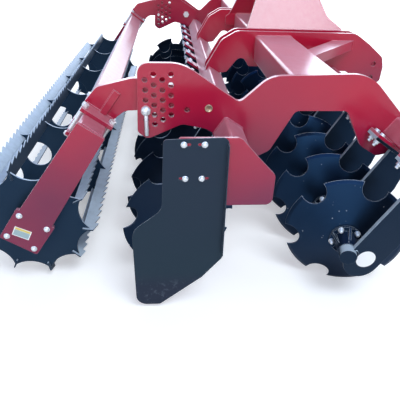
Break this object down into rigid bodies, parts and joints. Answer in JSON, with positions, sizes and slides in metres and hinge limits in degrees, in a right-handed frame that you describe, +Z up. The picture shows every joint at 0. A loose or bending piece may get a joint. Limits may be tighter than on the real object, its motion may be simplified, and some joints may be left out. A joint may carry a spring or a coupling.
{
  "type": "mounted disc harrow",
  "caption": "Three-point mounted disc harrow with two rows of notched discs on hanging arms and a toothed-bar roller behind",
  "frame": {"origin": "on the floor under the middle of the machine's box", "axes": "+X towards the tractor, +Y to the machine's left, +Z up"},
  "size_m": [2.086, 3.2656, 1.339],
  "materials": {
    "red_paint": "gloss",
    "black_paint": "satin",
    "shield_paint": "satin",
    "disc_steel": "semi-gloss",
    "zinc": "galvanised"
  },
  "bodies": {
    "frame": {"main_beam": "red_paint", "front_beam": "red_paint", "rear_beam": "red_paint", "side_plate_right": "red_paint", "side_plate_left": "red_paint", "roller_cheek_right": "red_paint", "roller_cheek_left": "red_paint", "hitch_plates_right": "red_paint", "hitch_plates_left": "red_paint", "tower": "red_paint", "shield_bracket": "red_paint", "side_shield": "shield_paint", "front_arms": "black_paint", "rear_arms": "black_paint", "pivot_bolts": "zinc", "lock_pins": "zinc"},
    "roller_frame": {"gooseneck_right": "red_paint", "gooseneck_left": "red_paint", "roller_clamps": "red_paint", "clamp_bolts": "zinc", "roller_beam": "red_paint", "end_arm_right": "red_paint", "end_arm_left": "red_paint", "bearing_plate_right": "red_paint", "bearing_plate_left": "red_paint"},
    "roller": {"roller": "black_paint"},
    "disc_front_01": {"disc_front_01": "disc_steel"},
    "disc_front_02": {"disc_front_02": "disc_steel"},
    "disc_front_03": {"disc_front_03": "disc_steel"},
    "disc_front_04": {"disc_front_04": "disc_steel"},
    "disc_front_05": {"disc_front_05": "disc_steel"},
    "disc_front_06": {"disc_front_06": "disc_steel"},
    "disc_front_07": {"disc_front_07": "disc_steel"},
    "disc_front_08": {"disc_front_08": "disc_steel"},
    "disc_front_09": {"disc_front_09": "disc_steel"},
    "disc_front_10": {"disc_front_10": "disc_steel"},
    "disc_front_11": {"disc_front_11": "disc_steel"},
    "disc_front_12": {"disc_front_12": "disc_steel"},
    "disc_rear_01": {"disc_rear_01": "disc_steel"},
    "disc_rear_02": {"disc_rear_02": "disc_steel"},
    "disc_rear_03": {"disc_rear_03": "disc_steel"},
    "disc_rear_04": {"disc_rear_04": "disc_steel"},
    "disc_rear_05": {"disc_rear_05": "disc_steel"},
    "disc_rear_06": {"disc_rear_06": "disc_steel"},
    "disc_rear_07": {"disc_rear_07": "disc_steel"},
    "disc_rear_08": {"disc_rear_08": "disc_steel"},
    "disc_rear_09": {"disc_rear_09": "disc_steel"},
    "disc_rear_10": {"disc_rear_10": "disc_steel"},
    "disc_rear_11": {"disc_rear_11": "disc_steel"},
    "disc_rear_12": {"disc_rear_12": "disc_steel"}
  },
  "joints": [
    {"name": "roller_lift", "type": "hinge", "parent": "frame", "child": "roller_frame", "pos_m": [-0.03323, 0, 0.757], "axis": [0, 1, 0], "range_deg": [0, 12]},
    {"name": "roller_spin", "type": "hinge", "parent": "roller_frame", "child": "roller", "pos_m": [-0.77323, 0, 0.288], "axis": [0, 1, 0], "continuous": true},
    {"name": "disc_front_01_spin", "type": "hinge", "parent": "frame", "child": "disc_front_01", "pos_m": [0.56377, -1.4375, 0.255], "axis": [-0.2588, -0.9659, 0], "continuous": true},
    {"name": "disc_front_02_spin", "type": "hinge", "parent": "frame", "child": "disc_front_02", "pos_m": [0.56377, -1.1875, 0.255], "axis": [-0.2588, -0.9659, 0], "continuous": true},
    {"name": "disc_front_03_spin", "type": "hinge", "parent": "frame", "child": "disc_front_03", "pos_m": [0.56377, -0.9375, 0.255], "axis": [-0.2588, -0.9659, 0], "continuous": true},
    {"name": "disc_front_04_spin", "type": "hinge", "parent": "frame", "child": "disc_front_04", "pos_m": [0.56377, -0.6875, 0.255], "axis": [-0.2588, -0.9659, 0], "continuous": true},
    {"name": "disc_front_05_spin", "type": "hinge", "parent": "frame", "child": "disc_front_05", "pos_m": [0.56377, -0.4375, 0.255], "axis": [-0.2588, -0.9659, 0], "continuous": true},
    {"name": "disc_front_06_spin", "type": "hinge", "parent": "frame", "child": "disc_front_06", "pos_m": [0.56377, -0.1875, 0.255], "axis": [-0.2588, -0.9659, 0], "continuous": true},
    {"name": "disc_front_07_spin", "type": "hinge", "parent": "frame", "child": "disc_front_07", "pos_m": [0.56377, 0.0625, 0.255], "axis": [-0.2588, -0.9659, 0], "continuous": true},
    {"name": "disc_front_08_spin", "type": "hinge", "parent": "frame", "child": "disc_front_08", "pos_m": [0.56377, 0.3125, 0.255], "axis": [-0.2588, -0.9659, 0], "continuous": true},
    {"name": "disc_front_09_spin", "type": "hinge", "parent": "frame", "child": "disc_front_09", "pos_m": [0.56377, 0.5625, 0.255], "axis": [-0.2588, -0.9659, 0], "continuous": true},
    {"name": "disc_front_10_spin", "type": "hinge", "parent": "frame", "child": "disc_front_10", "pos_m": [0.56377, 0.8125, 0.255], "axis": [-0.2588, -0.9659, 0], "continuous": true},
    {"name": "disc_front_11_spin", "type": "hinge", "parent": "frame", "child": "disc_front_11", "pos_m": [0.56377, 1.0625, 0.255], "axis": [-0.2588, -0.9659, 0], "continuous": true},
    {"name": "disc_front_12_spin", "type": "hinge", "parent": "frame", "child": "disc_front_12", "pos_m": [0.56377, 1.3125, 0.255], "axis": [-0.2588, -0.9659, 0], "continuous": true},
    {"name": "disc_rear_01_spin", "type": "hinge", "parent": "frame", "child": "disc_rear_01", "pos_m": [-0.14823, -1.3125, 0.255], "axis": [-0.2588, 0.9659, 0], "continuous": true},
    {"name": "disc_rear_02_spin", "type": "hinge", "parent": "frame", "child": "disc_rear_02", "pos_m": [-0.14823, -1.0625, 0.255], "axis": [-0.2588, 0.9659, 0], "continuous": true},
    {"name": "disc_rear_03_spin", "type": "hinge", "parent": "frame", "child": "disc_rear_03", "pos_m": [-0.14823, -0.8125, 0.255], "axis": [-0.2588, 0.9659, 0], "continuous": true},
    {"name": "disc_rear_04_spin", "type": "hinge", "parent": "frame", "child": "disc_rear_04", "pos_m": [-0.14823, -0.5625, 0.255], "axis": [-0.2588, 0.9659, 0], "continuous": true},
    {"name": "disc_rear_05_spin", "type": "hinge", "parent": "frame", "child": "disc_rear_05", "pos_m": [-0.14823, -0.3125, 0.255], "axis": [-0.2588, 0.9659, 0], "continuous": true},
    {"name": "disc_rear_06_spin", "type": "hinge", "parent": "frame", "child": "disc_rear_06", "pos_m": [-0.14823, -0.0625, 0.255], "axis": [-0.2588, 0.9659, 0], "continuous": true},
    {"name": "disc_rear_07_spin", "type": "hinge", "parent": "frame", "child": "disc_rear_07", "pos_m": [-0.14823, 0.1875, 0.255], "axis": [-0.2588, 0.9659, 0], "continuous": true},
    {"name": "disc_rear_08_spin", "type": "hinge", "parent": "frame", "child": "disc_rear_08", "pos_m": [-0.14823, 0.4375, 0.255], "axis": [-0.2588, 0.9659, 0], "continuous": true},
    {"name": "disc_rear_09_spin", "type": "hinge", "parent": "frame", "child": "disc_rear_09", "pos_m": [-0.14823, 0.6875, 0.255], "axis": [-0.2588, 0.9659, 0], "continuous": true},
    {"name": "disc_rear_10_spin", "type": "hinge", "parent": "frame", "child": "disc_rear_10", "pos_m": [-0.14823, 0.9375, 0.255], "axis": [-0.2588, 0.9659, 0], "continuous": true},
    {"name": "disc_rear_11_spin", "type": "hinge", "parent": "frame", "child": "disc_rear_11", "pos_m": [-0.14823, 1.1875, 0.255], "axis": [-0.2588, 0.9659, 0], "continuous": true},
    {"name": "disc_rear_12_spin", "type": "hinge", "parent": "frame", "child": "disc_rear_12", "pos_m": [-0.14823, 1.4375, 0.255], "axis": [-0.2588, 0.9659, 0], "continuous": true}
  ]
}
